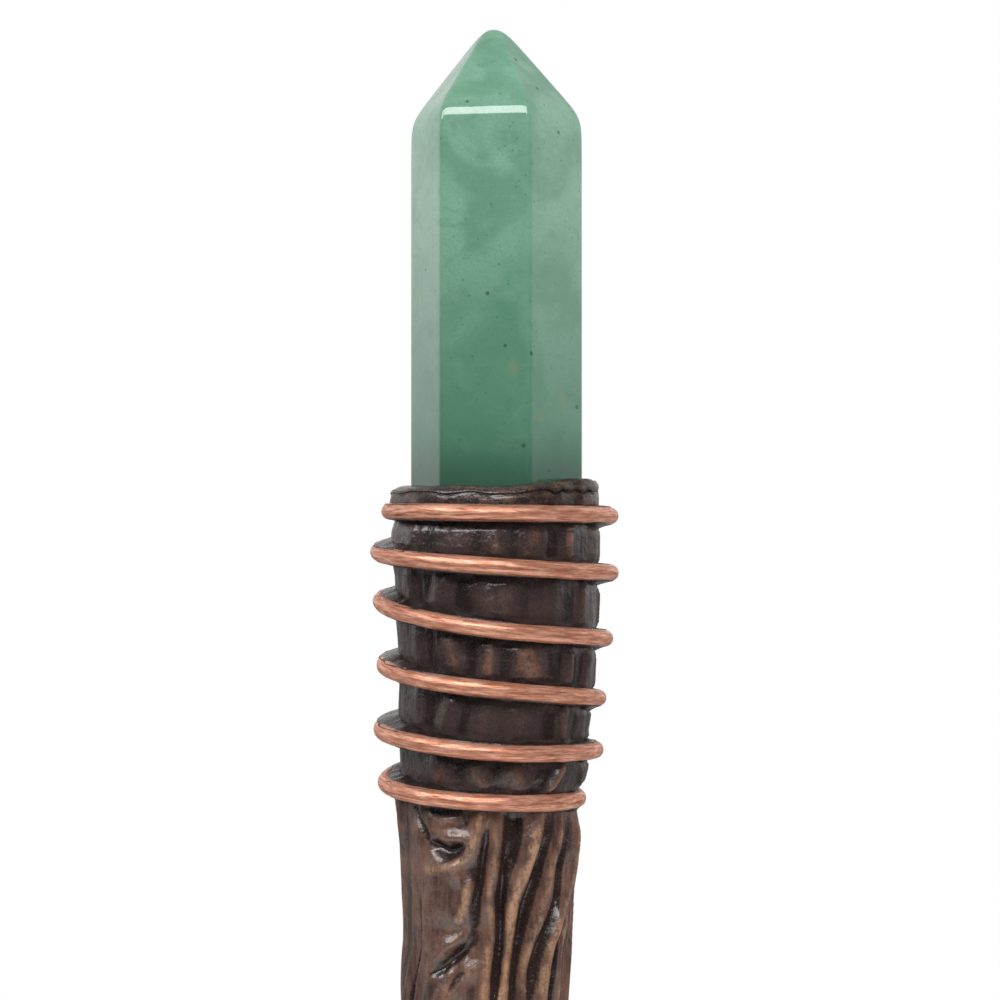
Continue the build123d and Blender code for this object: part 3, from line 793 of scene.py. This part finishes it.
def bead(line, shaft_grid):
    """Dark filler that runs along both sides of the wire and webs out to it at the left."""
    azimuth = np.arange(line[0, 0] + 1, line[-1, 0] - 1, BEAD_STEP)
    z = np.interp(azimuth, line[:, 0], line[:, 1])
    r = np.interp(azimuth, line[:, 0], line[:, 2])
    along = azimuth - azimuth[0]
    leftness = (1 - np.cos(np.radians(azimuth))) / 2
    web = smoothstep(leftness, 0.6, 1.0)
    above = 0.95 + 0.35 * web + 0.2 * wander(along, 14.0, 41) + 0.12 * wander(along, 5.0, 42)
    below = 0.85 + 0.35 * (1 - leftness) ** 4 + 0.18 * wander(along, 12.0, 43) + 0.12 * wander(along, 5.0, 44)
    climb = 84 - 30 * web + 8 * wander(along, 6.0, 45)
    drop = 86 - 16 * (1 - leftness) ** 4 + 8 * wander(along, 6.0, 46)
    over = WIRE_RADIUS + 0.04
    top_limit = BODY_HIGH.z - 0.02
    foot_up_z = np.minimum(z + above, top_limit)
    foot_up_r = surface_at(shaft_grid, azimuth, foot_up_z) - 0.12
    foot_down_z = z - below
    foot_down_r = surface_at(shaft_grid, azimuth, foot_down_z) - 0.12
    lip_up = (r + over * np.cos(np.radians(climb)), z + over * np.sin(np.radians(climb)))
    lip_down = (r + over * np.cos(np.radians(drop)), z - over * np.sin(np.radians(drop)))

    def fillet(start, end, bend):
        """Concave curve between two points of the profile."""
        middle = (start[0] * 0.35 + end[0] * 0.65 - 0.12, start[1] * 0.35 + end[1] * 0.65)
        middle = (np.minimum(middle[0], end[0]), middle[1] + bend)
        steps = []
        for t in (0.25, 0.5, 0.75):
            a, b, c = (1 - t) ** 2, 2 * t * (1 - t), t * t
            out = start[0] * a + middle[0] * b + end[0] * c
            steps.append((out, start[1] * a + middle[1] * b + end[1] * c))
        return steps

    profile = [(foot_up_r - 0.5, foot_up_z), (foot_up_r, foot_up_z)]
    profile += fillet((foot_up_r, foot_up_z), lip_up, -0.04) + [lip_up]
    profile += [(r - 0.1, z + 0.4 * WIRE_RADIUS), (r - 0.1, z - 0.4 * WIRE_RADIUS)]
    profile += [lip_down] + fillet((foot_down_r, foot_down_z), lip_down, 0.04)[::-1]
    profile += [(foot_down_r, foot_down_z), (foot_down_r - 0.5, foot_down_z)]
    rings = np.stack([polar(pr + 0 * azimuth, azimuth, pz) for pr, pz in profile], axis=1)
    noise = np.stack([wander(along, 3.0, 50 + k) for k in range(len(profile))], axis=1)
    rings *= 1 + 0.004 * noise[:, :, None] * [1, 1, 0]
    return closed_mesh("wire_bead", rings)


def collar():
    """Pressed lip of putty round the foot of the stone, crumpled at the right with a torn seam."""
    degrees = np.linspace(0, 360, 360, endpoint=False)
    side = np.cos(np.radians(degrees))
    inner = (STONE_FLAT + 0.02) / np.cos(np.radians((degrees - STONE_TURN) % 60.0 - 30.0))
    inner = np.minimum(inner, 8.72)
    around = degrees / 360.0
    zero = np.zeros_like(degrees)
    lumps = smooth_noise(around * 16, zero, 16, 71)
    crumple = smoothstep(side, 0.1, 0.75) * smooth_noise(around * 60, zero, 60, 72)
    top = BODY_HIGH.z + COLLAR_LIFT + COLLAR_RISE * smoothstep(side, 0.1, 0.8) + 0.08 * lumps + 0.14 * crumple
    reach = COLLAR_REACH + 0.12 * lumps + 0.15 * crumple - 0.1 * smoothstep(side, 0, 1)
    seam = BODY_HIGH.z + 0.75 + 0.35 * smoothstep(side, -0.1, 0.7)
    seam = seam + 0.16 * smooth_noise(around * 28, zero, 28, 73)
    seam = seam + 0.2 * smoothstep(side, 0.2, 0.6) * smooth_noise(around * 70, zero, 70, 74)
    seam = np.minimum(seam, top - 0.35)
    base = BODY_HIGH.z - 0.9
    groove = 0.16 + 0.14 * smoothstep(side, -0.2, 0.6)
    soft = 1.0 - 0.65 * smoothstep(side, 0.2, 0.8)
    outline = [
        (inner, zero + base),
        (inner, top - 0.45),
        (inner + 0.1, top - 0.14),
        (inner * 0.75 + reach * 0.25, top),
        (reach - 1.3 * soft, top - 0.05),
        (reach - 0.8 * soft, top - 0.2),
        (reach - 0.42 * soft, top - 0.42),
        (reach - 0.16 * soft, top * 0.45 + seam * 0.55),
        (reach - 0.04, seam + 0.12),
        (reach - 0.06, seam + 0.05),
        (reach - groove, seam),
        (reach - groove * 0.9, seam - 0.1),
        (reach - 0.1, seam - 0.26),
        (reach - 0.03, (seam + base) / 2 + 0.1),
        (reach - 0.06, zero + base + 0.3),
        (reach - 0.9, zero + base),
    ]
    fine = [outline[0]]
    for (r0, z0), (r1, z1) in zip(outline, outline[1:]):
        fine += [(r0 * 0.5 + r1 * 0.5, z0 * 0.5 + z1 * 0.5), (r1, z1)]
    rings = []
    for k, (r, height) in enumerate(fine):
        shift = 0.05 * smooth_noise(around * 45, zero + k / 3.0, 45, 75) * smoothstep(np.asarray(r), 9.0, 9.8)
        rings.append(polar(r + shift, degrees, height))
    return closed_mesh("pressed_collar", np.array(rings[::-1]), "join")


def putty_material(name, shade, light, coat):
    s = Shader(name)
    blotch = s.noise(0.9, 3.0, 0.6)
    speckle = s.noise(4.0, 3.0, 0.7)
    tint = s.mix(s.ramp(blotch, 0.42, 0.68), shade, light)
    tint = s.mix(s.ramp(speckle, 0.62, 0.8, 0.0, 0.3), tint, colour(96, 72, 62))
    s.set(Base_Color=tint, Roughness=s.ramp(speckle, 0.3, 0.75, 0.2, 0.4), Coat_Roughness=0.12)
    s.dull_at_grazing(0.5, coat)
    lumps = s.bump(s.noise(1.6, 3.0, 0.65), 0.22, 0.5)
    s.set(Normal=s.bump(speckle, 0.06, 0.6, lumps))
    return s.material


# ---- hidden CAD pieces -------------------------------------------------------------------------
def epoxy_material():
    s = Shader("cured_epoxy")
    haze = s.noise(0.8, 3.0)
    bubbles = s.ramp(s.cells(1.4), 0.25, 0.1)
    tint = s.mix(s.ramp(haze, 0.35, 0.65), colour(196, 184, 140), colour(222, 214, 184))
    tint = s.mix(s.math("MULTIPLY", bubbles, 0.5), tint, colour(240, 238, 226))
    s.set(Base_Color=tint, Roughness=s.ramp(haze, 0.3, 0.7, 0.12, 0.3), Transmission_Weight=0.3)
    s.set(Normal=s.bump(bubbles, 0.05, 0.5))
    return s.material


def steel_material():
    s = Shader("drawn_steel")
    lines = s.noise(6.0, 3.0, 0.6, s.scaled(s.place, (1.0, 1.0, 0.03)))
    stains = s.noise(0.25, 3.0)
    tint = s.mix(s.ramp(lines, 0.3, 0.7), colour(138, 138, 140), colour(176, 176, 178))
    tint = s.mix(s.ramp(stains, 0.55, 0.75, 0.0, 0.5), tint, colour(112, 98, 86))
    s.set(Base_Color=tint, Metallic=1.0, Roughness=s.ramp(lines, 0.3, 0.7, 0.25, 0.42))
    s.set(Normal=s.bump(lines, 0.01, 0.5))
    return s.material


def finish_hidden(node, material):
    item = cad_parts[node]
    item.data.materials.clear()
    item.data.materials.append(material)


# ---- stage, light and camera -------------------------------------------------------------------
def floor():
    """A round pale floor whose rim melts into the white surroundings."""
    around = np.linspace(0, 360, 96, endpoint=False)
    outline = [(2.0, -2.0), (FLOOR_RADIUS, -2.0), (FLOOR_RADIUS, 0.0), (160.0, 0.0), (60.0, 0.0), (2.0, 0.0)]
    flat = closed_mesh("floor", np.array([polar(r + 0 * around, around, z) for r, z in outline]))
    s = Shader("pale_floor")
    far = s.node("ShaderNodeVectorMath", {0: s.place}, operation="LENGTH").outputs["Value"]
    mottle = s.noise(0.02, 3.0)
    s.set(Base_Color=s.mix(mottle, colour(236, 236, 234), colour(244, 244, 243)), Roughness=0.6)
    clear = s.node("ShaderNodeBsdfTransparent").outputs[0]
    thinning = s.ramp(far, 0.4 * FLOOR_RADIUS, FLOOR_RADIUS - 20)
    blended = s.node("ShaderNodeMixShader", {0: thinning, 1: s.surface.outputs[0], 2: clear})
    output = next(n for n in s.tree.nodes if n.type == "OUTPUT_MATERIAL")
    s.tree.links.new(blended.outputs[0], output.inputs[0])
    flat.data.materials.append(s.material)


def surroundings():
    """White light box: bright behind and below the wand, dark on the camera's side."""
    world = bpy.data.worlds.new("light_box")
    bpy.context.scene.world = world
    world.use_nodes = True
    tree = world.node_tree
    tree.nodes.clear()
    add, link = tree.nodes.new, tree.links.new
    where = add("ShaderNodeSeparateXYZ")
    link(add("ShaderNodeTexCoord").outputs["Generated"], where.inputs[0])

    def fade(value, low, high, out_low, out_high):
        made = add("ShaderNodeMapRange")
        made.interpolation_type = "SMOOTHSTEP"
        link(value, made.inputs["Value"])
        for key, number in zip(("From Min", "From Max", "To Min", "To Max"), (low, high, out_low, out_high)):
            made.inputs[key].default_value = number
        return made.outputs[0]

    def combine(operation, first, second):
        made = add("ShaderNodeMath")
        made.operation = operation
        link(first, made.inputs[0])
        link(second, made.inputs[1])
        return made.outputs[0]

    behind = fade(where.outputs["Y"], -0.2, 0.35, 0.06, 1.1)
    low_down = fade(where.outputs["Z"], -0.12, 0.16, 0.35, 1.0)
    high_up = fade(where.outputs["Z"], 0.1, 0.75, 1.0, 0.45)
    below = fade(where.outputs["Z"], -0.55, -0.9, 0.0, 0.6)
    sides = combine("MULTIPLY", combine("MULTIPLY", behind, low_down), high_up)
    brighter = combine("MAXIMUM", sides, below)
    seen = add("ShaderNodeMix")
    link(add("ShaderNodeLightPath").outputs["Is Camera Ray"], seen.inputs[0])
    link(brighter, seen.inputs[2])
    seen.inputs[3].default_value = 1.0
    background = add("ShaderNodeBackground")
    background.inputs["Color"].default_value = (1.0, 1.0, 1.0, 1.0)
    link(seen.outputs[0], background.inputs["Strength"])
    output = add("ShaderNodeOutputWorld")
    link(background.outputs[0], output.inputs[0])


def softbox(name, bearing, elevation, width, height, power, mirrored=True):
    """A rectangular light aimed at the axis. Its bearing is an angle round the wand, its power in watts."""
    data = bpy.data.lights.new(name, "AREA")
    data.shape = "RECTANGLE"
    data.size, data.size_y = width * MM, height * MM
    data.energy = power
    lamp = bpy.data.objects.new(name, data)
    bpy.context.scene.collection.objects.link(lamp)
    flat, up = math.cos(math.radians(elevation)), math.sin(math.radians(elevation))
    offset = Vector((math.cos(math.radians(bearing)) * flat, math.sin(math.radians(bearing)) * flat, up))
    lamp.location = (Vector((0, 0, CAMERA_HEIGHT)) + offset * LIGHT_DISTANCE) * MM
    lamp.rotation_euler = (-offset).to_track_quat("-Z", "Y").to_euler()
    lamp.visible_glossy = mirrored


def camera():
    data = bpy.data.cameras.new("camera")
    data.lens = CAMERA_LENS
    data.sensor_width = 36.0
    data.clip_start = 0.01
    eye = bpy.data.objects.new("camera", data)
    bpy.context.scene.collection.objects.link(eye)
    eye.location = Vector((CAMERA_RIGHT, -CAMERA_DISTANCE, CAMERA_HEIGHT)) * MM
    eye.rotation_euler = (math.radians(90), 0, 0)
    bpy.context.scene.camera = eye


# ---- build -------------------------------------------------------------------------------------
WIRE_LINE = wire_centreline()
place(crystal(), "crystal_point", crystal_material())
place(coil(WIRE_LINE), "copper_wire", copper_material())
body, *BODY_GRID = shaft(WIRE_LINE)
place(body, "wand_body", bark_material())
BEAD_PUTTY = putty_material("bead_putty", colour(32, 24, 22), colour(50, 37, 33), 0.25)
place(bead(WIRE_LINE, BODY_GRID), "wire_bedding", BEAD_PUTTY)
COLLAR_PUTTY = putty_material("collar_putty", colour(42, 31, 29), colour(82, 60, 50), 0.4)
place(collar(), "setting_ring", COLLAR_PUTTY)
finish_hidden("crystal_adhesive", epoxy_material())
finish_hidden("reinforcing_rod", steel_material())

floor()
surroundings()
softbox("key", bearing=-106, elevation=40, width=720, height=310, power=7.0)
softbox("left", bearing=-152, elevation=33, width=420, height=300, power=3.2)
softbox("fill", bearing=-32, elevation=12, width=500, height=500, power=5.5, mirrored=False)
camera()
bpy.context.scene.view_settings.view_transform = "Standard"
